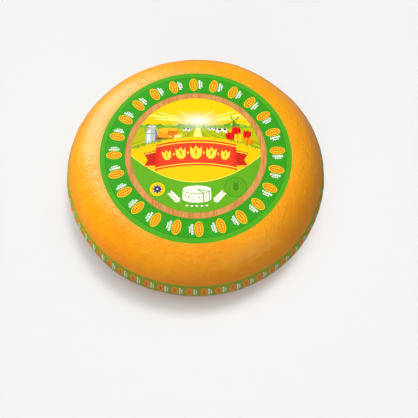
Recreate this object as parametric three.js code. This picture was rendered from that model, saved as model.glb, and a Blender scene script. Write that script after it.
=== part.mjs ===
// A whole semi-hard cheese wheel of the Gouda kind, lying on one of its two flat faces: the coated cheese
// itself, the round paper label on its upper face, and the printed paper band that runs once round its rim
// and laps over its own start. Millimetres, +Z up, origin at the centre of the face it rests on.
import * as THREE from "three";

// Driving dimensions.
const WHEEL_DIAMETER = 350;
const WHEEL_HEIGHT = 102;
const LABEL_DIAMETER = 248;
const LABEL_THICKNESS = 0.3;
const BAND_HEIGHT = 43.4; // measured straight up, not along the curve
const BAND_THICKNESS = 0.3;
const BAND_LAP = 22; // how far the band's end runs past its start, round the rim
const BAND_SEAM_ANGLE = 90; // degrees from +X, on the side opposite the label's foot
const FACE_MARGIN = 0.4; // flat face left bare outside the label
const SHOULDER_FULLNESS = 1.83; // 2 rounds the side as an ellipse, less is leaner, more is squarer
const GLUE_GAP = 0.3; // clearance between a paper and what it is stuck on

// Facets.
const SEGMENTS = 72; // round the wheel
const SHOULDER_STEPS = 9; // from a flat face to the nearer edge of the band
const BAND_STEPS = 8; // across the band

const COATING = new THREE.MeshStandardMaterial({ color: 0xf2a012, roughness: 0.42, metalness: 0 });
const LABEL_PAPER = new THREE.MeshStandardMaterial({ color: 0x5cb82c, roughness: 0.5, metalness: 0 });
const BAND_PAPER = new THREE.MeshStandardMaterial({ color: 0x6fa52e, roughness: 0.5, metalness: 0 });

const wheelRadius = WHEEL_DIAMETER / 2;
const halfHeight = WHEEL_HEIGHT / 2;
const faceRadius = LABEL_DIAMETER / 2 + FACE_MARGIN;
const sideDepth = wheelRadius - faceRadius;
const segmentAngle = (2 * Math.PI) / SEGMENTS;

// The side is half a superellipse: t runs from -90 degrees at the lower face, through 0 at the widest
// point, to +90 at the upper face.
const power = (x) => Math.sign(x) * Math.abs(x) ** (2 / SHOULDER_FULLNESS);
const sidePoint = (t) =>
  new THREE.Vector2(faceRadius + sideDepth * power(Math.cos(t)), halfHeight * (1 + power(Math.sin(t))));

// The side's outward normal at t, from the superellipse's own equation.
function sideNormal(t) {
  const across = Math.abs(power(Math.cos(t))) ** (SHOULDER_FULLNESS - 1) / sideDepth;
  const up = Math.abs(power(Math.sin(t))) ** (SHOULDER_FULLNESS - 1) / halfHeight;
  return new THREE.Vector2(across, Math.sign(t) * up).normalize();
}

// Where the side reaches the band's upper edge. The lower edge is at minus this.
const bandEdge = Math.asin((BAND_HEIGHT / WHEEL_HEIGHT) ** (SHOULDER_FULLNESS / 2));

const evenly = (from, to, steps) => Array.from({ length: steps + 1 }, (_, i) => from + ((to - from) * i) / steps);

// A solid of revolution about Z from a profile of (radius, height) points that starts and ends on the axis,
// running upwards on the outside.
function revolved(profile) {
  return new THREE.LatheGeometry(profile, SEGMENTS).rotateX(Math.PI / 2);
}

function wheelGeometry() {
  const quarter = Math.PI / 2;
  const angles = [
    ...evenly(-quarter, -bandEdge, SHOULDER_STEPS),
    ...evenly(-bandEdge, bandEdge, BAND_STEPS).slice(1),
    ...evenly(bandEdge, quarter, SHOULDER_STEPS).slice(1),
  ];
  return revolved([new THREE.Vector2(0, 0), ...angles.map(sidePoint), new THREE.Vector2(0, WHEEL_HEIGHT)]);
}

function labelGeometry() {
  const under = WHEEL_HEIGHT + GLUE_GAP;
  const over = under + LABEL_THICKNESS;
  const edge = LABEL_DIAMETER / 2;
  return revolved([
    new THREE.Vector2(0, under),
    new THREE.Vector2(edge, under),
    new THREE.Vector2(edge, over),
    new THREE.Vector2(0, over),
  ]);
}

// The band's section where its underside stands `lift` off the cheese: a closed loop of (radius, height)
// points, up the outside and down the inside.
function bandSection(lift) {
  const angles = evenly(-bandEdge, bandEdge, BAND_STEPS);
  const offset = (t, by) => sidePoint(t).addScaledVector(sideNormal(t), by);
  return [
    ...angles.map((t) => offset(t, lift + BAND_THICKNESS)),
    ...angles.toReversed().map((t) => offset(t, lift)),
  ];
}

// The band goes once round on the cheese, climbs over its own start in the last segment of the turn, and
// runs on for the lap.
function bandGeometry() {
  const lapped = GLUE_GAP + BAND_THICKNESS + GLUE_GAP;
  const stations = evenly(0, SEGMENTS - 1, SEGMENTS - 1).map((i) => ({ angle: i * segmentAngle, lift: GLUE_GAP }));
  const fullTurn = 2 * Math.PI;
  stations.push({ angle: fullTurn, lift: lapped });
  const lapAngle = BAND_LAP / wheelRadius;
  const lapSteps = Math.ceil(lapAngle / segmentAngle);
  for (let i = 1; i <= lapSteps; i++) {
    stations.push({ angle: fullTurn + Math.min(i * segmentAngle, lapAngle), lift: lapped });
  }
  return swept(stations.map(({ angle, lift }) => ({ angle, loop: bandSection(lift) })));
}

// A closed solid through loops of equal length, each standing upright at its own angle about Z, with flat
// ends on the first and the last.
function swept(loops) {
  const size = loops[0].loop.length;
  const positions = loops.flatMap(({ angle, loop }) =>
    loop.flatMap((p) => [p.x * Math.cos(angle), p.x * Math.sin(angle), p.y]),
  );
  const faces = [];
  for (let k = 0; k < loops.length - 1; k++) {
    for (let i = 0; i < size; i++) {
      const next = (i + 1) % size;
      const [a, b, c, d] = [k * size + i, (k + 1) * size + i, (k + 1) * size + next, k * size + next];
      faces.push(a, b, c, a, c, d);
    }
  }
  // Each end is a strip between the loop's outside and its inside.
  const last = (loops.length - 1) * size;
  for (let i = 0; i < size / 2 - 1; i++) {
    const [a, b, c, d] = [i, i + 1, size - 2 - i, size - 1 - i];
    faces.push(a, b, c, a, c, d);
    faces.push(last + a, last + c, last + b, last + a, last + d, last + c);
  }
  const geometry = new THREE.BufferGeometry();
  geometry.setAttribute("position", new THREE.Float32BufferAttribute(positions, 3));
  geometry.setIndex(faces);
  geometry.computeVertexNormals();
  return geometry;
}

function named(name, geometry, material) {
  const mesh = new THREE.Mesh(geometry, material);
  mesh.name = name;
  return mesh;
}

const cheese = new THREE.Group();
cheese.add(named("cheese_wheel", wheelGeometry(), COATING));
cheese.add(named("top_label", labelGeometry(), LABEL_PAPER));

// Turned by a whole number of facets, so that the band's facets lie along the cheese's.
const band = named("rim_band", bandGeometry(), BAND_PAPER);
band.rotation.z = Math.round(THREE.MathUtils.degToRad(BAND_SEAM_ANGLE) / segmentAngle) * segmentAngle;
cheese.add(band);

export default cheese;
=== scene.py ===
"""The looks of a whole Gouda-type cheese: its coated wheel, its printed round label and its printed rim band.

Shapes are worked out in millimetres, in the CAD model's frame, and become metres when a mesh is made. The
prints are drawn as flat coloured shapes, cut into one triangle mesh with their outlines as edges, and laid on
the cheese, so that every edge of the print is real geometry and its inks are a colour attribute.
"""

import math

import bpy
import numpy as np
from mathutils import Matrix, Vector
from mathutils.geometry import delaunay_2d_cdt
from mathutils.kdtree import KDTree


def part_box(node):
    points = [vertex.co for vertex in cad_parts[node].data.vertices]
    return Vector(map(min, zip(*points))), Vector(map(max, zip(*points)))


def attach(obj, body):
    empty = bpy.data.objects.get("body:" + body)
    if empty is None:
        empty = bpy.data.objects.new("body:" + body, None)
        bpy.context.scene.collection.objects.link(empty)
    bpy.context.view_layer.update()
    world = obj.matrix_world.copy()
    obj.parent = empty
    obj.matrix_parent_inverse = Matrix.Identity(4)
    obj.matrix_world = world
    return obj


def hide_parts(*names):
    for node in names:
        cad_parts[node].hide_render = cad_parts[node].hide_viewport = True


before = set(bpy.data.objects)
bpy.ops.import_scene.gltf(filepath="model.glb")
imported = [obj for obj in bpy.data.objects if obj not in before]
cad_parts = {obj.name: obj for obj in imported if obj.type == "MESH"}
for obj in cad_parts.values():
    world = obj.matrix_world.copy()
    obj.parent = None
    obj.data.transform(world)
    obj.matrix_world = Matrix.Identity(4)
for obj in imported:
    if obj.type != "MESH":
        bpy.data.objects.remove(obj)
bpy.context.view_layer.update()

MM = 0.001
TAU = 2 * math.pi

# ------------------------------------------------------------------ sizes, from the CAD model's boxes

WHEEL_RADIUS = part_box("cheese_wheel")[1][0] / MM
WHEEL_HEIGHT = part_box("cheese_wheel")[1][2] / MM
LABEL_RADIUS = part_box("top_label")[1][0] / MM
FACE_RADIUS = LABEL_RADIUS + 0.4
HALF_HEIGHT = WHEEL_HEIGHT / 2
SIDE_DEPTH = WHEEL_RADIUS - FACE_RADIUS
FULLNESS = 1.83  # exponent of the superellipse that the side follows
BAND_HALF_HEIGHT = 21.7  # straight up, from the widest line to the band's edge
BAND_LAP = 22.0
PAPER = 0.16  # thickness of the label and of the band
GLUE = 0.1  # between a paper and the cheese
BARE_PAPER = (0.8, 0.77, 0.68)

# ------------------------------------------------------------------ the cheese's surface


def side_power(x):
    return np.sign(x) * np.abs(x) ** (2 / FULLNESS)


def side_table():
    """The side's outline, from the upper face's edge down to the lower one's: distance along it, radius,
    height and outward normal."""
    t = np.linspace(math.pi / 2, -math.pi / 2, 4001)
    radius = FACE_RADIUS + SIDE_DEPTH * side_power(np.cos(t).clip(0))
    height = HALF_HEIGHT * (1 + side_power(np.sin(t)))
    along = np.concatenate([[0], np.cumsum(np.hypot(np.diff(radius), np.diff(height)))])
    across = np.abs(side_power(np.cos(t).clip(0))) ** (FULLNESS - 1) / SIDE_DEPTH
    up = np.sign(np.sin(t)) * np.abs(side_power(np.sin(t))) ** (FULLNESS - 1) / HALF_HEIGHT
    size = np.hypot(across, up)
    return along, radius, height, across / size, up / size


ALONG, RADII, HEIGHTS, NORMALS_OUT, NORMALS_UP = side_table()
SIDE_LENGTH = ALONG[-1]


def side_at(s):
    """Radius, height and normal on the side, s millimetres along it from the upper face's edge."""
    return tuple(np.interp(s, ALONG, column) for column in (RADII, HEIGHTS, NORMALS_OUT, NORMALS_UP))


def along_at(height):
    """How far along the side a height lies."""
    return float(np.interp(height, HEIGHTS[::-1], ALONG[::-1]))


def waves(points, length, count, seed):
    """Smooth unevenness of about one unit either way, whose bumps are about `length` across."""
    rng = np.random.default_rng(seed)
    directions = rng.normal(size=(count, 3))
    directions /= np.linalg.norm(directions, axis=1)[:, None]
    directions *= (TAU / (length * rng.uniform(0.75, 1.4, count)))[:, None]
    phases = rng.uniform(0, TAU, count)
    return np.sin(points @ directions.T + phases).sum(axis=1) * math.sqrt(1.2 / count)


def smooth(low, high, x):
    x = np.clip((x - low) / (high - low), 0, 1)
    return x * x * (3 - 2 * x)


def turn_from(middle, azimuth):
    """The angle from `middle` to each azimuth, within half a turn either way."""
    return np.angle(np.exp(1j * (azimuth - middle)))


# Creases in the coating beside the label: azimuth in degrees and distance from the upper face's edge at each
# end, how far the middle bows out, height and half width.
CREASES = (
    (184.5, 4.0, 187.0, 15.0, 1.6, 0.34, 1.5),
    (187.5, 2.5, 190.5, 11.0, -1.8, 0.42, 1.3),
    (189.0, 12.0, 194.0, 19.0, 1.5, 0.30, 1.6),
    (192.0, 2.0, 195.5, 13.5, 2.2, 0.40, 1.4),
    (196.0, 5.0, 201.0, 12.0, -1.4, 0.26, 1.5),
    (180.5, 8.0, 183.0, 20.0, -1.2, 0.20, 1.7),
    (203.0, 14.0, 209.0, 20.0, 1.6, 0.18, 1.9),
    (38.0, 10.0, 42.0, 21.0, 1.5, 0.20, 1.8),
    (301.0, 20.0, 306.0, 28.0, -1.4, 0.18, 2.0),
    (96.0, 9.0, 100.0, 18.0, 1.6, 0.20, 1.7),
)


def creases(azimuth, s):
    """Height of the creases at places on the side."""
    lift = np.zeros_like(s)
    for a0, s0, a1, s1, bow, height, half in CREASES:
        mean = math.radians((a0 + a1) / 2)
        radius = side_at((s0 + s1) / 2)[0]
        x = turn_from(mean, azimuth) * radius
        start = np.array([math.radians(a0 - math.degrees(mean)) * radius, s0])
        end = np.array([math.radians(a1 - math.degrees(mean)) * radius, s1])
        run = end - start
        size = np.hypot(*run)
        f = np.clip(((x - start[0]) * run[0] + (s - start[1]) * run[1]) / size**2, 0, 1)
        side = ((x - start[0]) * run[1] - (s - start[1]) * run[0]) / size - bow * 4 * f * (1 - f)
        end_gap = np.hypot(x - start[0] - f * run[0], s - start[1] - f * run[1]) * ((f <= 0) | (f >= 1))
        near = (np.abs(x) < 40) & (np.abs(s - (s0 + s1) / 2) < 30)
        d2 = (side / half) ** 2 + (end_gap / half) ** 2
        taper = np.sin(math.pi * np.clip(f, 0.04, 0.96)) ** 0.7
        ridge = np.exp(-d2) - 0.45 * np.exp(-d2 / 5)  # with a shallow groove along either side
        lift += near * height * taper * ridge
    return lift


def dents(azimuth, s):
    """Shallow dents and bumps from handling."""
    rng = np.random.default_rng(41)
    lift = np.zeros_like(s)
    for _ in range(46):
        a, d = rng.uniform(0, TAU), rng.uniform(6, SIDE_LENGTH - 6)
        reach, depth = rng.uniform(4, 11), rng.normal(0, 0.16)
        x = turn_from(a, azimuth) * side_at(d)[0]
        lift += depth * np.exp(-((x / reach) ** 2) - ((s - d) / (reach * rng.uniform(0.6, 1.2))) ** 2)
    return lift


def unevenness(points):
    """How far the cheese stands proud of its plain shape: less under the label, which is pressed flat."""
    x, y, z = points.T
    free = smooth(FACE_RADIUS - 6, FACE_RADIUS + 14, np.hypot(x, y)) * 0.8 + 0.2
    broad = 0.42 * waves(points, 130, 10, 3)
    small = 0.17 * waves(points, 42, 14, 5) + 0.06 * waves(points, 15, 18, 7)
    small += 0.03 * waves(points, 6.5, 24, 9)
    return broad * (0.5 + 0.5 * free) + free * small


def on_side(azimuth, s, off=0.0):
    """Points on the cheese's side, `off` away from its surface."""
    radius, height, out, up = side_at(s)
    plain = np.stack([radius * np.cos(azimuth), radius * np.sin(azimuth), height], axis=1)
    lift = unevenness(plain) + creases(azimuth, s) + dents(azimuth, s) + off
    return plain + lift[:, None] * np.stack([out * np.cos(azimuth), out * np.sin(azimuth), up], axis=1)


def on_top(x, y, off=0.0):
    """Points on the cheese's upper face, `off` above its surface."""
    plain = np.stack([x, y, np.full_like(x, WHEEL_HEIGHT)], axis=1)
    plain[:, 2] += unevenness(plain) + off
    return plain


def normals_of(surface, u, v, step=0.6):
    """Outward unit normals of a surface, from small steps either way in u and v."""
    a = surface(u + step, v) - surface(u - step, v)
    b = surface(u, v + step) - surface(u, v - step)
    n = np.cross(a, b)
    return n / np.linalg.norm(n, axis=1)[:, None]


def make_object(name, points, faces):
    mesh = bpy.data.meshes.new(name)
    mesh.from_pydata((points * MM).tolist(), [], [tuple(f) for f in faces])
    mesh.polygons.foreach_set("use_smooth", [True] * len(mesh.polygons))
    obj = bpy.data.objects.new(name, mesh)
    bpy.context.scene.collection.objects.link(obj)
    return obj


def set_map(obj, corners):
    """Gives the piece its own flat map, as one pair of numbers for each face corner."""
    layer = obj.data.uv_layers.new(name="OFBake")
    layer.data.foreach_set("uv", np.asarray(corners, dtype=np.float32).ravel())


def corner_vertices(mesh):
    index = np.empty(len(mesh.loops), dtype=np.int32)
    mesh.loops.foreach_get("vertex_index", index)
    return index


def build_wheel():
    turns = 720
    face_rings = 15
    side_rings = 96
    azimuth = np.arange(turns) * TAU / turns
    circle = np.stack([np.cos(azimuth), np.sin(azimuth)], axis=1)
    face_radii = np.linspace(0, FACE_RADIUS, face_rings + 1)[1:]
    # Each ring of points has a reach on the piece's map, where the upper face is in the middle, the side
    # round it, and the lower face squeezed in round the side.
    upper_share, side_share, lower_share, map_edge = 0.12, 0.3, 0.07, 0.495
    rings, reaches = [], []
    for radius in face_radii[:-1]:
        rings.append(on_top(*(radius * circle).T))
        reaches.append(upper_share * radius / FACE_RADIUS)
    for s in np.linspace(0, SIDE_LENGTH, side_rings + 1):
        rings.append(on_side(azimuth, np.full(turns, s)))
        reaches.append(upper_share + side_share * s / SIDE_LENGTH)
    for radius in face_radii[-2::-1]:
        low = np.pad(radius * circle, ((0, 0), (0, 1)))
        low[:, 2] -= unevenness(low)
        rings.append(low)
        reaches.append(upper_share + side_share + lower_share * (1 - radius / FACE_RADIUS))
    top = on_top(np.zeros(1), np.zeros(1))
    points = np.concatenate([top, *rings, [[0, 0, 0]]])
    points[:, 2] = np.maximum(points[:, 2], 0)  # nothing reaches below the floor
    last = len(points) - 1
    last_ring = last - turns
    faces = []
    for i in range(turns):
        j = (i + 1) % turns
        faces.append((0, 1 + i, 1 + j))
        for a in range(1, last_ring, turns):
            b = a + turns
            faces.append((a + i, b + i, b + j, a + j))
        faces.append((last, last_ring + j, last_ring + i))
    obj = make_object("wheel_coating", points, faces)
    index = corner_vertices(obj.data)
    reach = np.concatenate([[0], np.repeat(reaches, turns), [map_edge]])[index]
    turn = np.concatenate([[0], np.tile(azimuth, len(rings)), [0]])[index]
    ends = np.flatnonzero(index == last)
    turn[ends] = turn[ends + 1]  # the lower centre is a point on the cheese but a circle on the map
    set_map(obj, 0.5 + reach[:, None] * np.stack([np.cos(turn), np.sin(turn)], axis=1))
    return obj


# ------------------------------------------------------------------ drawing


def placed(points, x=0.0, y=0.0, turn=0.0, scale=1.0):
    """A shape turned by `turn` degrees, scaled, and moved to x, y."""
    c, s = math.cos(math.radians(turn)) * scale, math.sin(math.radians(turn)) * scale
    points = np.asarray(points, dtype=float)
    return points @ np.array([[c, s], [-s, c]]) + (x, y)


def oval(a, b=None, steps=32):
    t = np.arange(steps) * TAU / steps
    return np.stack([a * np.cos(t), (b or a) * np.sin(t)], axis=1)


def bud(length, width, blunt=0.75, steps=9):
    """A pointed bud along X."""
    x = np.cos(np.arange(steps + 1) * math.pi / steps)
    y = (1 - x**2).clip(0) ** blunt
    upper = np.stack([x * length / 2, y * width / 2], axis=1)
    return np.concatenate([upper, upper[-2:0:-1] * (1, -1)])


def kernel(length, width):
    """A small rounded grain along X."""
    return bud(length, width, 0.7, 4)


def away(x, y, reach, turn):
    """The place `reach` from x, y in the direction `turn`, in degrees."""
    a = math.radians(turn)
    return x + reach * math.cos(a), y + reach * math.sin(a)


def mirrored(half):
    """The left half of an outline, from its right half, in the order that closes it."""
    return [(-x, y) for x, y in half[::-1]]


def lozenge(length, width):
    return np.array([(-length / 2, 0), (0, -width / 2), (length / 2, 0), (0, width / 2)])


def arch(left, right, top, bottom, steps=24):
    """The area between two curves, each a function of x."""
    x = np.linspace(left, right, steps)
    return np.concatenate([np.stack([x, bottom(x)], axis=1), np.stack([x, top(x)], axis=1)[::-1]])


def strip(left, right, top, bottom, steps=24):
    """A level strip, with points all along it."""
    return arch(left, right, lambda x: np.full_like(x, top), lambda x: np.full_like(x, bottom), steps)


def drum_side(radius, dip, height, steps):
    """The side of an upright drum seen from a little above, whose rims dip by `dip`."""
    t = np.linspace(math.pi, TAU, steps)
    x, y = radius * np.cos(t), dip * np.sin(t)
    return np.concatenate([np.stack([x, y], axis=1), np.stack([x, height + y], axis=1)[::-1]])


class Print:
    """Shapes on a flat sheet, in millimetres, painted one over another. Each ink is a colour with marks that
    say how its material treats it. The first ink covers the whole sheet."""

    def __init__(self, outline):
        self.inks, self.shapes, self.outline = [], [], outline

    def ink(self, red, green, blue, glow=0.0, wood=0.0, hatch=0.0):
        """An ink from screen colours of 0 to 255. glow is how far the picture's sun bleaches it, wood whether
        it is wood grain, and hatch whether it has the ring's fine lines."""
        linear = [(c / 255) ** 2.2 for c in (red, green, blue)]
        self.inks.append((linear, (glow, wood, hatch)))
        return len(self.inks) - 1

    def add(self, ink, *shapes):
        for shape in shapes:
            self.shapes.append((ink, np.asarray(shape, dtype=float)))

    def triangles(self, spacing):
        """The sheet cut into triangles along every shape's outline, with the ink of each triangle."""
        loops = [self.outline] + [shape for _, shape in self.shapes]
        points, edges = [], []
        for loop in loops:
            first = len(points)
            points += loop.tolist()
            edges += [(first + i, first + (i + 1) % len(loop)) for i in range(len(loop))]
        tree = KDTree(len(points))
        for i, (x, y) in enumerate(points):
            tree.insert((x, y, 0), i)
        tree.balance()
        low, high = self.outline.min(axis=0), self.outline.max(axis=0)
        # Points between the outlines, in rows of even triangles that keep clear of the outlines' own points.
        clearance = spacing * 0.4
        rows = int((high[1] - low[1]) / (spacing * 0.866))
        for row in range(1, rows):
            y = low[1] + (high[1] - low[1]) * row / rows
            start = low[0] + spacing * (0.5 if row % 2 else 1.0)
            for x in np.arange(start, high[0] - clearance, spacing):
                if tree.find((x, y, 0))[2] > clearance:
                    points.append((x, y))
        seeds = np.array(points)
        keep = inside(seeds, self.outline)
        keep[: sum(map(len, loops))] = True
        number = np.cumsum(keep) - 1
        edges = [(int(number[a]), int(number[b])) for a, b in edges]
        out = delaunay_2d_cdt([Vector(p) for p in seeds[keep]], edges, [], 0, 1e-5, False)
        points = np.array([tuple(p) for p in out[0]])
        faces = np.array([f for f in out[2] if len(f) == 3])
        a, b, c = (points[faces[:, k]] for k in range(3))
        area = (b[:, 0] - a[:, 0]) * (c[:, 1] - a[:, 1]) - (b[:, 1] - a[:, 1]) * (c[:, 0] - a[:, 0])
        faces[area < 0] = faces[area < 0][:, ::-1]
        faces = faces[np.abs(area) > 1e-9]
        middle = points[faces].mean(axis=1)
        inks = np.zeros(len(faces), dtype=int)
        for ink, shape in self.shapes:
            inks[inside(middle, shape)] = ink
        return points, faces, inks


def inside(points, loop):
    """Which points lie inside a closed loop."""
    low, high = loop.min(axis=0), loop.max(axis=0)
    near = np.flatnonzero(((points >= low) & (points <= high)).all(axis=1))
    x, y = points[near].T
    hit = np.zeros(len(near), dtype=bool)
    for (x0, y0), (x1, y1) in zip(loop, np.roll(loop, -1, axis=0)):
        if y0 != y1:
            hit ^= ((y0 > y) != (y1 > y)) & (x < (x1 - x0) * (y - y0) / (y1 - y0) + x0)
    result = np.zeros(len(points), dtype=bool)
    result[near[hit]] = True
    return result


def build_sheet(name, drawing, spacing, outer, inner, flat_map):
    """A printed paper as a closed solid. outer and inner give its printed face and its back from places on
    the flat sheet, and flat_map(places, side) its bake map, where side is 0 for the print, 1 for the back
    and 2 for the cut edge."""
    flat, faces, inks = drawing.triangles(spacing)
    count = len(flat)
    used = dict.fromkeys((f[k], f[(k + 1) % 3]) for f in faces for k in range(3))
    rim = [(a, b) for a, b in used if (b, a) not in used]
    walls = [(b, a, a + count, b + count) for a, b in rim]
    points = np.concatenate([outer(*flat.T), inner(*flat.T)])
    obj = make_object(name, points, [*faces.tolist(), *(faces[:, ::-1] + count).tolist(), *walls])
    mesh = obj.data
    colours = np.ones((len(mesh.loops), 4), dtype=np.float32)
    marks = np.zeros((len(mesh.loops), 4), dtype=np.float32)
    ink_colours, ink_marks = (np.array(column) for column in zip(*drawing.inks))
    printed = 3 * len(faces)
    colours[:printed, :3] = np.repeat(ink_colours[inks], 3, axis=0)
    marks[:printed, :3] = np.repeat(ink_marks[inks], 3, axis=0)
    colours[printed : 2 * printed, :3] = BARE_PAPER
    colours[2 * printed :, :3] = ink_colours[0]  # the cut edge, where the ink has soaked in
    marks[:, 3] = 1
    for label, values in (("ink", colours), ("marks", marks)):
        mesh.color_attributes.new(label, "FLOAT_COLOR", "CORNER").data.foreach_set("color", values.ravel())
    side = np.repeat([0, 1, 2], [printed, printed, len(mesh.loops) - 2 * printed])
    index = corner_vertices(mesh) % count
    set_map(obj, flat_map(flat[index], side))
    # The papers' faces shade as the smooth surface that they follow, and their cut edges as they are.
    smooth_normals = normals_of(outer, *flat.T)[index] * np.where(side == 1, -1, 1)[:, None]
    corners = polygon_values(mesh, "loop_total")[:, 0]
    edge_normals = np.repeat(polygon_values(mesh, "normal", 3), corners, axis=0)
    mesh.normals_split_custom_set(np.where(side[:, None] == 2, edge_normals, smooth_normals).tolist())
    return obj


def polygon_values(mesh, name, size=1):
    values = np.empty(size * len(mesh.polygons), dtype=np.int32 if size == 1 else np.float32)
    mesh.polygons.foreach_get(name, values)
    return values.reshape(-1, size)


# ------------------------------------------------------------------ the label's print

RING_OUTSIDE, RING_INSIDE = 116.7, 94.4  # radii of the ring of motifs
WOOD = 91.4  # radius of the wood-grain ring round the picture
PICTURE = 83.5  # radius of the picture
SUN = (2.5, 53.0)
HORIZON = 38.0
FIELD_FOOT = 2.0  # where the picture's fields end, behind the yellow one


def in_picture(shape):
    """The shape with whatever would reach past the picture's edge drawn back to it."""
    shape = np.asarray(shape, dtype=float)
    runs = []
    for start, end in zip(shape, np.roll(shape, -1, axis=0)):
        run = end - start
        leaves = max(np.hypot(*start), np.hypot(*end)) > PICTURE
        pieces = max(1, int(np.hypot(*run) / 4)) if leaves else 1
        runs.append(start + run * np.arange(pieces)[:, None] / pieces)
    shape = np.concatenate(runs)
    reach = np.hypot(*shape.T)
    return shape * np.minimum(1, PICTURE / np.maximum(reach, 1e-9))[:, None]


def label_print():
    p = Print(oval(LABEL_RADIUS, steps=360))
    border, line = p.ink(78, 168, 38), p.ink(40, 122, 34)
    ring, ring_line = p.ink(60, 160, 36, hatch=1), p.ink(42, 134, 34)
    wood, wood_line = p.ink(220, 158, 88, wood=1), p.ink(164, 108, 58, wood=1)
    for ink, radius in (
        (border, LABEL_RADIUS),
        (line, RING_OUTSIDE + 0.5),
        (ring, RING_OUTSIDE),
        (ring_line, RING_INSIDE + 0.4),
        (ring, RING_INSIDE),
        (wood_line, WOOD + 0.25),
        (wood, WOOD - 0.25),
        (wood_line, PICTURE + 0.35),
    ):
        p.add(ink, oval(radius, steps=240))
    rng = np.random.default_rng(12)
    draw_sky(p)
    draw_fields(p)
    draw_trees(p, rng)
    draw_windmill(p, 50, HORIZON + 0.5)
    for x, y, size, flip in ((33, 29.5, 1.7, 1), (20, 33.5, 1.0, 1), (-12, 32, 1.2, -1)):
        draw_cow(p, x, y, size, flip)
    draw_churn(p, -58, 10)
    draw_cut_cheese(p, -35, 24.5)
    draw_foreground(p, rng)
    draw_banner(p)
    draw_emblem(p)
    draw_flower_seal(p, -48.5, -51.5)
    draw_sprig_seal(p, 50.0, -49.0)
    draw_ring_motifs(p)
    return p


def draw_sky(p):
    """The whole picture's green ground, and on it the sky with clouds that stream away from the sun."""
    p.add(p.ink(100, 173, 36), oval(PICTURE, steps=240))
    p.add(p.ink(254, 206, 0, glow=1), in_picture(strip(-PICTURE, PICTURE, 90, 30, 120)))
    cloud = p.ink(255, 240, 110, glow=1)
    for angle, near, far, width in (
        (163, 24, 78, 3.4),
        (172, 20, 60, 2.6),
        (152, 30, 60, 2.2),
        (20, 26, 74, 3.6),
        (10, 22, 66, 2.4),
        (33, 30, 58, 2.0),
        (128, 22, 40, 1.6),
        (60, 20, 38, 1.6),
    ):
        # Both the way to the cloud and its slope are flattened, as the sky leans away from the eye.
        a, middle = math.radians(angle), (near + far) / 2
        x, y = SUN[0] + middle * math.cos(a), SUN[1] - 6 + middle * math.sin(a) * 0.5
        slope = angle * 0.55 if angle < 90 else 180 + (angle - 180) * 0.55
        p.add(cloud, in_picture(placed(bud(far - near, width, 0.6), x, y, slope)))


def draw_fields(p):
    """Fields in strips that run to one point on the horizon, and a path down their middle."""
    p.add(p.ink(184, 190, 20, glow=1), in_picture(strip(-PICTURE, PICTURE, HORIZON, FIELD_FOOT, 60)))
    inks = [p.ink(150, 172, 22, glow=1), p.ink(208, 204, 26, glow=1), p.ink(132, 160, 24, glow=1)]
    far_end = lambda x: (SUN[0] + (x - SUN[0]) * 0.06, HORIZON)
    for first, feet in ((0, np.linspace(-120, -22, 11)), (11, [*np.linspace(22, 120, 11), 132])):
        for number, (start, following) in enumerate(zip(feet, feet[1:]), first):
            end = start + 0.5 * (following - start)
            corners = np.array([far_end(start), (start, FIELD_FOOT), (end, FIELD_FOOT), far_end(end)])
            sides = [np.linspace(corners[k], corners[(k + 1) % 4], 8, endpoint=False) for k in range(4)]
            p.add(inks[number % 3], in_picture(np.concatenate(sides)))
    path = p.ink(255, 240, 120, glow=1)
    p.add(path, [(SUN[0] - 2.5, HORIZON), (-10, FIELD_FOOT), (13, FIELD_FOOT), (SUN[0] + 2.5, HORIZON)])


def draw_trees(p, rng):
    """A line of trees and hedges along the horizon."""
    far, near, hedge = p.ink(150, 196, 60, glow=1), p.ink(96, 160, 44, glow=1), p.ink(122, 178, 46, glow=1)
    for x in np.arange(-72, 73, 4.6):
        size = rng.uniform(2.2, 4.0)
        ink = far if rng.random() < 0.5 else near
        crown = oval(size, size * rng.uniform(0.8, 1.15), 14)
        p.add(ink, in_picture(placed(crown, x + rng.uniform(-1, 1), HORIZON + size * 0.62)))
    for left, right, swell in ((-76, -8, 0.9), (14, 76, 0.8)):
        top = lambda x: HORIZON + 1.6 + 0.6 * np.sin(x * swell)
        p.add(hedge, in_picture(arch(left, right, top, lambda x: 0 * x + HORIZON - 0.6)))


def draw_foreground(p, rng):
    """The yellow field that carries the banner, with grass and tulips along its upper edge."""
    upper = lambda x: 24 - 19 * (x / PICTURE) ** 2
    lower = lambda x: -42.3 + 37.8 * (x / PICTURE) ** 2
    yellow, rim = p.ink(254, 202, 2), p.ink(252, 230, 90)
    blades = [p.ink(112, 168, 36), p.ink(150, 190, 40), p.ink(86, 148, 36)]
    for x in np.concatenate([rng.uniform(-80, -36, 70), rng.uniform(36, 80, 80)]):
        foot, height, lean = upper(x) - rng.uniform(1.5, 4.5), rng.uniform(4, 9), rng.normal(0, 1.6)
        tip = (x + lean, foot + height)
        p.add(blades[rng.integers(3)], in_picture([(x - 0.5, foot), (x + 0.5, foot), tip]))
    draw_tulips(p)
    p.add(yellow, in_picture(arch(-PICTURE, PICTURE, upper, lower, 80)))
    for x in np.concatenate([rng.uniform(-80, -44, 44), rng.uniform(44, 80, 44)]):
        foot, height, lean = upper(x) - 0.8, rng.uniform(2.5, 5), rng.normal(0, 1.2)
        low, tip = (x + lean * 0.5, foot - height * 0.5), (x + lean, foot + height * 0.7)
        p.add(blades[rng.integers(3)], in_picture([(x - 0.45, foot), low, (x + 0.45, foot), tip]))
    p.add(rim, in_picture(arch(-PICTURE, PICTURE, lambda x: lower(x) + 1.1, lower, 80)))


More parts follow.
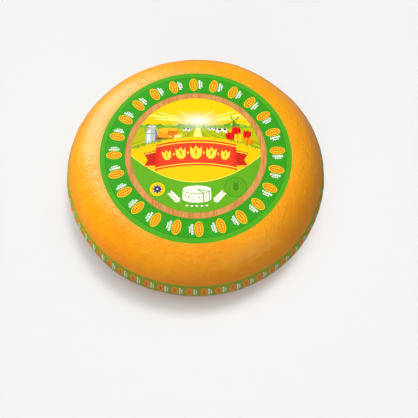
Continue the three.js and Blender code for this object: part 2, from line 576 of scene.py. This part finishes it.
def draw_windmill(p, x, y):
    dark, sail = p.ink(84, 138, 40, glow=0.6), p.ink(120, 160, 50, glow=0.6)
    tower = [(-2.6, 0), (2.6, 0), (1.5, 8.5), (-1.5, 8.5)]
    cap = [(-1.8, 8.5), (1.8, 8.5), (1.1, 10.6), (-1.1, 10.6)]
    deck = [(-3.4, 3.2), (3.4, 3.2), (3.4, 3.8), (-3.4, 3.8)]
    for shape in (tower, cap, deck):
        p.add(dark, placed(shape, x, y))
    cloth = [(0.6, -0.25), (8.6, -0.25), (8.6, 1.6), (2.0, 1.6), (2.0, 0.25), (0.6, 0.25)]
    stock = [(0, -0.25), (8.8, -0.25), (8.8, 0.2), (0, 0.2)]
    for k in range(4):
        p.add(sail, placed(cloth, x, y + 9.6, 28 + 90 * k))
        p.add(dark, placed(stock, x, y + 9.6, 28 + 90 * k))


def draw_cow(p, x, y, size, flip):
    """A cow that faces left, or right where flip is -1."""
    white, black, pink = p.ink(250, 248, 240), p.ink(34, 32, 34), p.ink(226, 160, 140)
    head_and_back = [(-5.7, 2.5), (-6.0, 3.1), (-5.0, 4.2), (-4.7, 4.7), (-4.2, 4.2), (-3.0, 4.1), (0, 4.0)]
    rump = [(3.6, 4.2), (4.4, 3.8), (4.8, 1.9), (4.4, 2.0), (4.1, 2.6)]
    hind_legs = [(4.0, 0), (3.2, 0), (3.0, 1.8), (2.5, 1.8), (2.4, 0.2), (1.7, 0.2), (1.6, 1.6)]
    front_legs = [(-1.6, 1.5), (-1.8, 0.1), (-2.5, 0.1), (-2.7, 1.7), (-3.0, 0.3), (-3.6, 0.3), (-3.6, 2.4)]
    face = [(-5.0, 4.2), (-4.7, 4.7), (-4.2, 4.2), (-3.3, 4.1), (-3.6, 3.0), (-4.6, 3.2)]
    shoulder = [(-2.4, 4.0), (-0.2, 4.0), (0.1, 2.8), (-1.2, 2.2), (-2.4, 2.9)]
    flank = [(1.4, 4.05), (3.6, 4.1), (4.2, 3.5), (3.6, 2.3), (2.2, 2.7)]
    muzzle = [(-5.9, 2.5), (-6.1, 3.0), (-5.6, 3.1), (-5.4, 2.6)]
    body = [*head_and_back, *rump, *hind_legs, *front_legs, (-4.4, 2.9)]
    for ink, shape in ((white, body), (black, face), (black, shoulder), (black, flank), (pink, muzzle)):
        p.add(ink, placed(np.array(shape) * (flip, 1), x, y, 0, size))


def draw_churn(p, x, y):
    """A milk churn in the grass."""
    light, mid, dark = p.ink(232, 234, 232), p.ink(186, 192, 194), p.ink(120, 128, 132)
    half = [(6.5, 0), (8, 1.2), (8, 19), (7.2, 21.5), (4.6, 25.5), (4.6, 29)]
    shine = [(-6, 1), (-1.5, 1), (-1.5, 20.5), (-2, 25), (-3.6, 25), (-6, 20.5)]
    shade = [(4.6, 0.6), (6.9, 0.8), (7.2, 19), (6.6, 21.3), (3.8, 25.4), (3.0, 25.4), (4.6, 20.5)]
    hoop = [(-8.1, 0), (8.1, 0), (8.1, 0.9), (-8.1, 0.9)]
    handle_outside = [(7.4, 20.8), (9.8, 22.6), (9.8, 25.8), (7.6, 26.8)]
    handle_inside = [(7.6, 25.8), (8.8, 25.0), (8.8, 23.2), (7.0, 21.8)]
    p.add(mid, placed([*half, *mirrored(half)], x, y))
    p.add(light, placed(shine, x, y))
    p.add(dark, placed(shade, x, y), placed(hoop, x, y + 18.2), placed(hoop, x, y + 4.0))
    p.add(mid, placed(oval(6.2, 1.7, 22), x, y + 29.6))
    p.add(light, placed(oval(5.0, 1.1, 20), x - 0.3, y + 30.0))
    p.add(dark, placed(oval(1.8, 0.7, 12), x, y + 30.6))
    for flip in (-1, 1):
        p.add(dark, placed(np.array(handle_outside + handle_inside) * (flip, 1), x, y))


def draw_cut_cheese(p, x, y):
    """A whole cheese with a wedge taken out and laid beside it, on a board."""
    board, board_edge = p.ink(176, 112, 56), p.ink(132, 78, 36)
    rind, shade = p.ink(246, 158, 18), p.ink(222, 118, 14)
    top, cut = p.ink(255, 188, 40), p.ink(255, 226, 120)
    p.add(board_edge, placed([(-17, -5.2), (17, -5.2), (18.5, -2), (-18.5, -2)], x, y))
    p.add(board, placed([(-18.5, -2), (18.5, -2), (15, 2.4), (-15, 2.4)], x, y))
    x -= 2
    p.add(rind, placed(drum_side(13, 3.6, 8.2, 20), x, y + 1.2))
    p.add(top, placed(oval(13, 3.8, 32), x, y + 9.4))
    p.add(shade, placed([(4.5, -3.3), (12.9, 0.1), (12.9, 8.3), (4.5, 5.0)], x, y + 1.2))
    p.add(cut, placed([(0, 8.2), (5, 4.7), (5, -3.2), (0, 0.6)], x, y + 1.2))
    p.add(shade, placed([(0, 8.2), (11.6, 6.6), (11.6, -0.9), (0, 0.6)], x, y + 1.2))
    p.add(cut, placed([(8, -3.4), (18.5, -1.8), (18.5, 3.9), (8, 2.4)], x, y - 0.4))
    p.add(top, placed([(8, 2.4), (18.5, 3.9), (20.5, 5.4), (16.5, 5.6)], x, y - 0.4))
    holes = (12, -0.6, 0.5), (15, 1.2, 0.4), (10.4, 0.9, 0.35), (2.4, 3.2, 0.4), (3.4, 0.8, 0.35)
    for dx, dy, radius in holes:
        p.add(shade, placed(oval(radius, steps=8), x + dx, y + dy))


def draw_tulips(p):
    stem, leaf = p.ink(70, 136, 40), p.ink(96, 160, 44)
    red, red_dark = p.ink(236, 34, 22), p.ink(186, 18, 20)
    orange, orange_dark = p.ink(248, 154, 8), p.ink(232, 100, 14)
    gold, gold_dark = p.ink(255, 206, 20), p.ink(244, 160, 10)
    for x, y, lean in ((45, 12, -10), (53, 9, 4), (60, 8, 12), (67, 6, 16)):
        p.add(leaf, placed(bud(17, 3.0, 0.8), x + 2, y + 4, 70 - lean))
        p.add(leaf, placed(bud(15, 2.6, 0.8), x - 2.5, y + 3, 112 - lean))
    half = [(2.0, -4.2), (3.5, -2.4), (4.1, 0.8), (3.7, 3.9), (2.9, 4.9), (1.9, 3.6)]
    cup = [(0, -4.6), *half, (0, 5.6), *mirrored(half)]
    fold = [(0, 5.0), (-1.6, 2.4), (-1.8, -0.8), (-0.9, -3.6), (0, -4.4), (-0.4, -2.0), (-0.6, 1.0)]
    side = [(3.6, 3.4), (2.5, 1.2), (2.0, -2.6), (1.2, -4.2), (3.2, -2.5), (3.9, 0.6)]
    for x, y, foot, petals, dark, size, tilt in (
        (53, 32, 53, red, red_dark, 1.45, -6),
        (66.5, 26.5, 63, red, red_dark, 1.35, 12),
        (44.5, 24, 47, red, red_dark, 1.4, -16),
        (56, 21, 56, gold, gold_dark, 1.5, 2),
        (68.5, 15.5, 65, orange, orange_dark, 1.45, 10),
    ):
        p.add(stem, [(foot - 0.45, y - 16), (foot + 0.45, y - 16), (x + 0.4, y - 3), (x - 0.4, y - 3)])
        for ink, shape in ((petals, cup), (dark, fold), (dark, side)):
            p.add(ink, placed(shape, x, y, -tilt, size))


def draw_banner(p):
    """A blank ribbon with folded ends, carrying a row of tulip heads."""
    red, dark, deep, trim = p.ink(250, 70, 40), p.ink(206, 44, 26), p.ink(160, 30, 20), p.ink(255, 226, 60)
    shade = p.ink(230, 56, 32)
    half, top, bottom = 52, 19, -18
    curve = 0.0026
    bow = lambda x: -curve * x**2

    def bowed(left, right, high, low, steps):
        return arch(left, right, lambda x: high + bow(x), lambda x: low + bow(x), steps)

    tail = [(44, -20), (67, -20.5), (62, -10.5), (67.5, -0.5), (44, 6)]
    low_trim = [(44, -18.2), (65.4, -18.7), (66.0, -19.9), (44, -19.4)]
    high_trim = [(44, 4.2), (66.2, -1.2), (65.7, -2.4), (44, 3.0)]
    fold = [(44, -19.8), (half, -19.8), (half, -26)]
    for flip in (-1, 1):
        for ink, shape in ((dark, tail), (trim, low_trim), (trim, high_trim), (deep, fold)):
            p.add(ink, np.array(shape) * (flip, 1))
    p.add(red, bowed(-half, half, top, bottom, 48))
    for flip in (-1, 1):
        p.add(shade, bowed(*sorted((flip * (half - 4.5), flip * half)), top, bottom, 6))
    for low, high in ((15.4, 16.8), (-15.8, -14.4)):
        p.add(trim, bowed(-half, half, high, low, 48))
    petal = [(1.6, -6.0), (4.4, -3.4), (5.2, 1.2), (5.0, 6.4), (2.6, 3.4)]
    tulip = [*petal, (0, 7.2), *mirrored(petal)]
    rib = [(0, 5.6), (-0.6, 1.0), (0, -4.4), (0.6, 1.0)]
    for x, size in ((0, 1.5), (-19.5, 1.3), (19.5, 1.3), (-37.5, 1.1), (37.5, 1.1)):
        turn = -math.degrees(math.atan(2 * curve * x))
        p.add(trim, placed(tulip, x, 0.3 + bow(x), turn, size))
        p.add(red, placed(rib, x, 0.3 + bow(x), turn, size))
    for x in (-28.6, -10.2, 10.2, 28.6):
        p.add(trim, placed(lozenge(2.6, 5.0), x, 0.5 + bow(x)))


def draw_emblem(p):
    """A cut cheese between two sprigs, in cream on the green."""
    cream, gap = p.ink(255, 245, 226), p.ink(100, 173, 36)
    p.add(cream, placed(drum_side(18, 5, 12.5, 24), 1, -65))
    p.add(gap, placed(oval(18.9, 6.1, 40), 1, -52.2))
    p.add(cream, placed(oval(18, 5.4, 40), 1, -52.0))
    p.add(gap, [(1, -52.2), (8.6, -57.4), (8.6, -69.2), (9.9, -69.0), (9.9, -56.8), (2.0, -51.2)])
    p.add(gap, [(1, -52.2), (15.9, -55.4), (15.9, -67.4), (17.1, -66.6), (17.1, -54.6), (2.4, -51.4)])
    holes = (-9.5, -62.5, 1.2), (-3.5, -66.4, 0.9), (4.2, -63, 1.0), (-13.2, -60, 0.8), (12.6, -62.4, 0.8)
    for x, y, radius in holes:
        p.add(gap, placed(oval(radius, steps=12), x, y))
    stalk = [(20.6, -70.2), (20.9, -69.5), (31.8, -57.6), (32.3, -58.1)]
    for flip in (-1, 1):
        p.add(cream, np.array(stalk) * (flip, 1) + (1, 0))
        for k in range(5):
            x, y = 22.4 + 2.35 * k, -68.4 + 2.55 * k
            for turn in (92, 2):
                grain = placed(bud(6.0 - 0.35 * k, 2.9, 0.8), *away(x, y, 2.8, turn), turn)
                p.add(cream, grain * (flip, 1) + (1, 0))
    for k in range(-2, 3):
        p.add(cream, placed(lozenge(4.6, 2.6), 1 + 6.2 * k, -74.6 + 0.16 * k * k))


def draw_flower_seal(p, x, y):
    line, yellow, blue = p.ink(58, 116, 36), p.ink(255, 214, 20), p.ink(44, 66, 132)
    for ink, radius, steps in ((line, 10.2, 40), (yellow, 9.7, 40), (line, 6.9, 32), (yellow, 6.5, 32)):
        p.add(ink, placed(oval(radius, steps=steps), x, y))
    for turn in range(0, 360, 45):
        p.add(blue, placed(bud(5.2, 3.0, 0.6), *away(x, y, 3.2, turn), turn))
    p.add(yellow, placed(oval(1.3, steps=12), x, y))


def draw_sprig_seal(p, x, y):
    dark, green = p.ink(52, 128, 34), p.ink(100, 173, 36)
    for outer, inner in ((14.2, 13.6), (12.9, 12.6), (8.4, 8.0)):
        p.add(dark, placed(oval(outer, steps=56), x, y))
        p.add(green, placed(oval(inner, steps=56), x, y))
    p.add(dark, placed([(-0.3, -6.4), (0.3, -6.4), (0.25, 5.5), (-0.25, 5.5)], x, y))
    for k in range(4):
        for turn in (38, 142):
            p.add(dark, placed(bud(4.4, 1.9, 0.8), *away(x, y - 4.2 + 2.7 * k, 2.3, turn), turn))
    for turn in range(0, 360, 15):
        p.add(dark, placed(lozenge(2.2, 1.1), *away(x, y, 10.5, turn), turn))


def add_buds(p, x, y, turn, buds):
    """Buds one on another: ink, length, width and bluntness."""
    for ink, length, width, blunt in buds:
        p.add(ink, placed(bud(length, width, blunt), x, y, turn))


def add_grains(p, ink, x, y, turn, rows):
    """Rows of grains beside x, y, in the direction `turn`: how far off, how many, their pitch and width."""
    for off, count, pitch, width in rows:
        for k in range(count):
            along = (k - (count - 1) / 2) * pitch
            place = away(*away(x, y, along, turn), off, turn - 90)
            p.add(ink, placed(kernel(pitch - 0.25, width), *place, turn))


def draw_ring_motifs(p):
    edge, orange = p.ink(255, 206, 40), p.ink(250, 134, 24)
    red, white = p.ink(240, 82, 20), p.ink(250, 252, 244)
    middle, count, first = 105.45, 24, 1.9
    for k in range(count):
        turn = first + 360 / count * k
        x, y = away(0, 0, middle, turn)
        add_buds(p, x, y, turn, ((edge, 20.4, 11.4, 0.54), (orange, 18.2, 9.4, 0.56), (edge, 14.2, 5.4, 0.6)))
        for j in (-1.5, -0.5, 0.5, 1.5):
            p.add(red, placed(lozenge(2.9, 3.9 - 0.5 * abs(j)), *away(x, y, j * 3.0, turn), turn))
        add_grains(p, white, x, y, turn, ((8.2, 5, 2.8, 3.4), (11.2, 4, 2.2, 2.2)))


# ------------------------------------------------------------------ the rim band's print

BAND_REACH = along_at(HALF_HEIGHT) - along_at(HALF_HEIGHT + BAND_HALF_HEIGHT)
BAND_TURN = TAU * WHEEL_RADIUS
BAND_LENGTH = BAND_TURN + BAND_LAP
BAND_START = math.pi / 2
BAND_PITCH = 18.4
BAND_EDGE = 2.4  # width of the paler strip along either edge
BAND_MARGIN = 4.0  # between an edge and its row of motifs


def band_print():
    """The band laid flat: X along it from its start, Y up from its middle."""
    along = lambda top, bottom: strip(0, BAND_LENGTH, top, bottom, 400)
    p = Print(along(BAND_REACH, -BAND_REACH))
    p.ink(148, 165, 32)
    edge_green, line = p.ink(158, 172, 34), p.ink(110, 136, 30)
    orange, edge = p.ink(240, 116, 30), p.ink(246, 170, 44)
    red, white = p.ink(226, 78, 24), p.ink(240, 240, 216)
    inner_edge = BAND_REACH - BAND_EDGE
    for flip in (-1, 1):
        p.add(edge_green, along(flip * BAND_REACH, flip * inner_edge))
        p.add(line, along(flip * inner_edge, flip * (inner_edge - 0.4)))
    length = 17.6
    row = BAND_REACH - BAND_MARGIN - length / 2
    buds = (edge, length, 8.2, 0.56), (orange, 15.4, 6.6, 0.58), (edge, 10.6, 3.2, 0.7), (red, 9.4, 2.2, 0.75)
    for k in range(int(BAND_LENGTH / BAND_PITCH)):
        x = (k + 0.4) * BAND_PITCH
        for y in (-row, row):
            add_buds(p, x, y, 90, buds)
            add_grains(p, white, x, y, 90, ((6.4, 5, 2.9, 2.5), (9.2, 4, 2.5, 1.9)))
    return p


def band_lift(u):
    """How far the band's back stands off the cheese: more where its end runs over its start."""
    return GLUE + (PAPER + GLUE) * smooth(BAND_TURN - 9, BAND_TURN - 1, u)


def band_surface(u, v, off):
    """Points `off` above the band's back, from places on the flat band."""
    return on_side(BAND_START + u / WHEEL_RADIUS, SIDE_LENGTH / 2 - v, band_lift(u) + off)


def band_map(places, side):
    """Four rows for the print, and one more, shrunk, for the back and the cut edge."""
    u, v = places.T
    from_edge = v + BAND_REACH
    margin, width = 0.02, 0.96
    row_length = BAND_LENGTH / 4
    row = np.minimum(u // row_length, 3)
    scale = width / row_length
    front = np.stack([margin + (u - row * row_length) * scale, 0.03 + row * 0.19 + from_edge * scale], axis=1)
    back = np.stack([margin + u / BAND_LENGTH * width, 0.9 + from_edge / BAND_REACH * 0.02], axis=1)
    return np.where(side[:, None] == 0, front, back)


# ------------------------------------------------------------------ materials


class Material:
    """A node material being wired up round one Principled shader."""

    def __init__(self, name):
        self.material = bpy.data.materials.new(name)
        self.material.use_nodes = True
        self.tree = self.material.node_tree
        self.shader = self.tree.nodes["Principled BSDF"]
        self.place = self.tree.nodes.new("ShaderNodeTexCoord").outputs["Object"]

    def add(self, kind, inputs, **settings):
        node = self.tree.nodes.new(kind)
        for name, value in settings.items():
            setattr(node, name, value)
        for name, value in inputs.items():
            self.feed(node.inputs[name], value)
        return node

    def feed(self, socket, value):
        if isinstance(value, bpy.types.NodeSocket):
            self.tree.links.new(value, socket)
        else:
            socket.default_value = value

    def math(self, operation, a, b=0.0, c=0.0):
        return self.add("ShaderNodeMath", {0: a, 1: b, 2: c}, operation=operation).outputs[0]

    def noise(self, scale, detail=2.0, roughness=0.5, place=None, distortion=0.0):
        inputs = {"Vector": place or self.place, "Scale": scale, "Detail": detail}
        inputs.update({"Roughness": roughness, "Distortion": distortion})
        return self.add("ShaderNodeTexNoise", inputs).outputs[0]

    def ramp(self, value, low, high, to_low=0.0, to_high=1.0):
        inputs = {"Value": value, "From Min": low, "From Max": high, "To Min": to_low, "To Max": to_high}
        return self.add("ShaderNodeMapRange", inputs).outputs[0]

    def mix(self, factor, a, b, blend="MIX"):
        node = self.tree.nodes.new("ShaderNodeMix")
        node.data_type, node.blend_type = "RGBA", blend
        for socket, value in ((node.inputs[0], factor), (node.inputs[6], a), (node.inputs[7], b)):
            self.feed(socket, value)
        return node.outputs[2]

    def bump(self, *layers):
        """Bumps one on another: (height, strength, distance in metres)."""
        normal = None
        for height, strength, distance in layers:
            inputs = {"Height": height, "Strength": strength, "Distance": distance}
            if normal:
                inputs["Normal"] = normal
            normal = self.add("ShaderNodeBump", inputs).outputs[0]
        self.feed(self.shader.inputs["Normal"], normal)

    def set(self, **inputs):
        for name, value in inputs.items():
            self.feed(self.shader.inputs[name.replace("_", " ")], value)


def colour(red, green, blue):
    return (*((c / 255) ** 2.2 for c in (red, green, blue)), 1.0)


def coating_material():
    m = Material("cheese_coating")
    height = m.add("ShaderNodeSeparateXYZ", {0: m.place}).outputs[2]
    broad = m.noise(14, 3, 0.55)
    patch = m.noise(60, 4, 0.6)
    fine = m.noise(420, 3, 0.6)
    base = m.mix(m.ramp(broad, 0.35, 0.68), colour(252, 164, 1), colour(249, 151, 0))
    base = m.mix(m.ramp(patch, 0.42, 0.75, 0, 0.4), base, colour(254, 178, 4))
    # Painted shade: the coating is painted a deeper orange within a few centimetres of its widest line, above
    # and below the band.
    painted_shade_distance = m.math("ABSOLUTE", m.math("SUBTRACT", height, HALF_HEIGHT * MM))
    base = m.mix(m.ramp(painted_shade_distance, 0.04, 0.015, 0, 0.5), base, colour(232, 108, 2))
    base = m.mix(m.ramp(fine, 0.5, 0.8, 0, 0.25), base, colour(222, 120, 0))
    m.set(Base_Color=base, Roughness=m.ramp(patch, 0.3, 0.7, 0.29, 0.39))
    m.set(Sheen_Weight=0.2, Sheen_Roughness=0.35, Sheen_Tint=(1.0, 0.93, 0.8, 1))
    m.set(Specular_IOR_Level=0.45, Coat_Weight=0.12, Coat_Roughness=0.24, Coat_IOR=1.8)
    m.set(Subsurface_Weight=0.1, Subsurface_Scale=0.004)
    m.shader.inputs["Subsurface Radius"].default_value = (1.0, 0.4, 0.1)
    grid = {"Vector": m.place, "Scale": 330.0, "Randomness": 1.0}
    cells = m.add("ShaderNodeTexVoronoi", grid, feature="SMOOTH_F1").outputs[0]
    m.bump((m.noise(170, 3, 0.6), 0.7, 0.0013), (cells, 0.5, 0.0008), (fine, 0.3, 0.0003))
    return m.material


def printed(m):
    """What a print carries at each place: its ink's colour, and the ink's three marks."""
    ink = m.add("ShaderNodeAttribute", {}, attribute_name="ink").outputs["Color"]
    marks = m.add("ShaderNodeAttribute", {}, attribute_name="marks").outputs["Color"]
    glow, wood, hatch = m.add("ShaderNodeSeparateColor", {0: marks}).outputs
    return ink, glow, wood, hatch


def paper_finish(m, base, rough_low, rough_high):
    """A print's colour with the small unevenness of ink on paper."""
    fibre = m.noise(900, 3, 0.7)
    base = m.mix(m.ramp(fibre, 0.4, 0.75, 0, 0.16), base, (0.6, 0.6, 0.6, 1), "MULTIPLY")
    base = m.mix(m.ramp(m.noise(35, 3, 0.6), 0.4, 0.75, 0, 0.2), base, (0.7, 0.7, 0.65, 1), "MULTIPLY")
    m.set(Base_Color=base, Roughness=m.ramp(m.noise(120, 3, 0.6), 0.3, 0.7, rough_low, rough_high))
    m.bump((m.noise(90, 3, 0.5), 0.25, 0.0005), (fibre, 0.15, 0.0001))


def label_material():
    m = Material("label_print")
    ink, glow, wood, hatch = printed(m)
    x, y, _ = m.add("ShaderNodeSeparateXYZ", {0: m.place}).outputs
    # The sun bleaches the sky and the fields in an oval round it.
    across = m.math("MULTIPLY", m.math("SUBTRACT", x, SUN[0] * MM), 23.0)
    along = m.math("MULTIPLY", m.math("SUBTRACT", y, (SUN[1] - 5) * MM), 52.0)
    from_sun = m.add("ShaderNodeCombineXYZ", {0: across, 1: along}).outputs[0]
    distance = m.add("ShaderNodeVectorMath", {0: from_sun}, operation="LENGTH").outputs["Value"]
    halo = m.math("MULTIPLY", m.math("POWER", m.ramp(distance, 1.0, 0.14), 2.2), glow)
    base = m.mix(halo, ink, colour(255, 248, 222))
    # Wood grain, which runs up the label.
    stretch = m.add("ShaderNodeMapping", {"Vector": m.place, "Scale": (1.0, 0.09, 1.0)}).outputs[0]
    fine = m.math("MULTIPLY", m.noise(700, 3, 0.65, stretch), 0.65)
    coarse = m.math("MULTIPLY", m.noise(160, 3, 0.6, stretch, 0.4), 0.35)
    grain = m.ramp(m.math("ADD", fine, coarse), 0.42, 0.6, 0, 0.85)
    base = m.mix(m.math("MULTIPLY", grain, wood), base, colour(188, 116, 60))
    # Fine lines that run outward across the ring.
    turn = m.math("ARCTAN2", y, x)
    lines = m.ramp(m.math("SINE", m.math("MULTIPLY", turn, 330.0)), 0.1, 0.9, 0, 0.3)
    base = m.mix(m.math("MULTIPLY", lines, hatch), base, colour(40, 132, 30))
    paper_finish(m, base, 0.3, 0.38)
    m.set(Specular_IOR_Level=0.18, Coat_Weight=0.03, Coat_Roughness=0.2)
    return m.material


def band_material():
    m = Material("band_print")
    ink, *_ = printed(m)
    paper_finish(m, ink, 0.42, 0.55)
    m.set(Specular_IOR_Level=0.35)
    return m.material


# ------------------------------------------------------------------ the pieces


def label_map(places, side):
    """The print fills a circle on the map, the cut edge a thin ring round it, and the back a small circle in
    the map's corner."""
    reach = np.hypot(*places.T)[:, None]
    way = places / np.maximum(reach, 1e-9)
    front = 0.5 + places / LABEL_RADIUS * 0.482
    back = 0.075 + places / LABEL_RADIUS * 0.06
    return np.where(side[:, None] == 0, front, np.where(side[:, None] == 1, back, 0.5 + way * 0.492))


def build_label():
    cockle = lambda x, y: 0.05 * waves(np.stack([x, y, 0 * x], axis=1), 26, 12, 17)
    outer = lambda x, y: on_top(x, y, GLUE + PAPER + cockle(x, y))
    inner = lambda x, y: on_top(x, y, GLUE + cockle(x, y))
    return build_sheet("label_sheet", label_print(), 3.0, outer, inner, label_map)


def build_band():
    outer = lambda u, v: band_surface(u, v, PAPER)
    inner = lambda u, v: band_surface(u, v, 0.0)
    return build_sheet("band_sheet", band_print(), 4.0, outer, inner, band_map)


for piece, node, slot, material in (
    (build_wheel(), "cheese_wheel", "cheese_coating", coating_material()),
    (build_label(), "top_label", "label_paper", label_material()),
    (build_band(), "rim_band", "band_paper", band_material()),
):
    piece.data.materials.append(material)
    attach(piece, "root")
    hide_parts(node)

# ------------------------------------------------------------------ stage


def set_lamp(name, lamp, azimuth, elevation, distance, receivers):
    """A lamp that faces the cheese from an azimuth, in degrees from +X towards +Y, and lights only the
    receivers, or everything if there are none."""
    obj = bpy.data.objects.new(name, lamp)
    a, e = math.radians(azimuth), math.radians(elevation)
    way = Vector((math.cos(a) * math.cos(e), math.sin(a) * math.cos(e), math.sin(e)))
    obj.location = way * distance + Vector((0, 0, WHEEL_HEIGHT * MM))
    obj.rotation_euler = way.to_track_quat("Z", "Y").to_euler()
    bpy.context.scene.collection.objects.link(obj)
    if receivers:
        lit = bpy.data.collections.new(name + "_lights")
        for receiver in receivers:
            lit.objects.link(receiver)
        obj.light_linking.receiver_collection = lit
    return obj


def sun(name, azimuth, elevation, strength, angle, shadow, *receivers):
    """A wide far light, which adds no gloss."""
    lamp = bpy.data.lights.new(name, "SUN")
    lamp.energy, lamp.angle, lamp.use_shadow = strength, math.radians(angle), shadow
    set_lamp(name, lamp, azimuth, elevation, 0, receivers).visible_glossy = False


def soft_box(name, azimuth, elevation, distance, width, height, power, *receivers):
    """An oval panel, which shows only in gloss."""
    lamp = bpy.data.lights.new(name, "AREA")
    lamp.energy, lamp.use_shadow, lamp.color = power, False, (0.66, 0.8, 1.0)
    lamp.shape, lamp.size, lamp.size_y = "ELLIPSE", width, height
    obj = set_lamp(name, lamp, azimuth, elevation, distance, receivers)
    obj.visible_diffuse = obj.visible_camera = False


def build_floor():
    half = 12
    corners = [(-half, -half, 0), (half, -half, 0), (half, half, 0), (-half, half, 0)]
    mesh = bpy.data.meshes.new("floor")
    mesh.from_pydata(corners, [], [(0, 1, 2, 3)])
    floor = bpy.data.objects.new("floor", mesh)
    bpy.context.scene.collection.objects.link(floor)
    m = Material("floor_paper")
    m.set(Base_Color=(0.5, 0.5, 0.5, 1), Roughness=0.9, Specular_IOR_Level=0.0)
    floor.visible_glossy = False
    mesh.materials.append(m.material)
    return floor


def build_world():
    """A room that is pale to the camera but nearly dark otherwise, as its gloss would wash colours out."""
    world = bpy.data.worlds.new("studio")
    world.use_nodes = True
    tree = world.node_tree
    back = tree.nodes["Background"]
    back.inputs[0].default_value = (1, 1, 1, 1)
    path = tree.nodes.new("ShaderNodeLightPath")
    pale = tree.nodes.new("ShaderNodeMapRange")
    pale.inputs["To Min"].default_value, pale.inputs["To Max"].default_value = 0.045, 0.75
    tree.links.new(path.outputs["Is Camera Ray"], pale.inputs["Value"])
    tree.links.new(pale.outputs[0], back.inputs[1])
    bpy.context.scene.world = world


def build_stage():
    floor = build_floor()
    build_world()
    coating, label, band = (bpy.data.objects[name] for name in ("wheel_coating", "label_sheet", "band_sheet"))
    sun("key", 137, 42, 3.9, 40, False, coating, label, band)
    sun("overhead", 0, 90, 0.78, 90, True)
    sun("front", 264, 24, 0.55, 60, False)
    sun("right", 20, 40, 0.14, 60, False)
    # The floor has lamps of its own, so that its shadow can be narrow and the cheese's shading broad.
    sun("wash", 0, 90, 1.6, 40, False, floor)
    sun("shade", 50, 73, 1.5, 16, True, floor)
    sun("contact", 0, 90, 1.4, 36, True, floor)
    # The coating is glossier than the papers, and has the stronger panel to itself.
    soft_box("gloss", 131, 33, 0.93, 0.9, 1.1, 10, coating)
    soft_box("satin", 131, 30, 0.93, 1.0, 1.4, 2.6)
    soft_box("glint", -48, 36, 1.2, 0.6, 0.6, 1)


def build_camera():
    """The view down on the cheese from in front, level but for a slight tilt of its way to the right."""
    lens = bpy.data.cameras.new("camera")
    lens.lens, lens.sensor_width = 48.9, 36
    camera = bpy.data.objects.new("camera", lens)
    place = Vector((0.0031, -0.3529, 0.7490))
    target = Vector((0.0160, -0.0786, 0.1020))
    forward = (target - place).normalized()
    right = Vector((0.99983, -0.00879, 0.01626))
    up = right.cross(forward).normalized()
    right = forward.cross(up)
    camera.matrix_world = Matrix.Translation(place) @ Matrix((right, up, -forward)).transposed().to_4x4()
    bpy.context.scene.collection.objects.link(camera)
    bpy.context.scene.camera = camera


build_stage()
build_camera()
bpy.context.scene.view_settings.view_transform = "Standard"
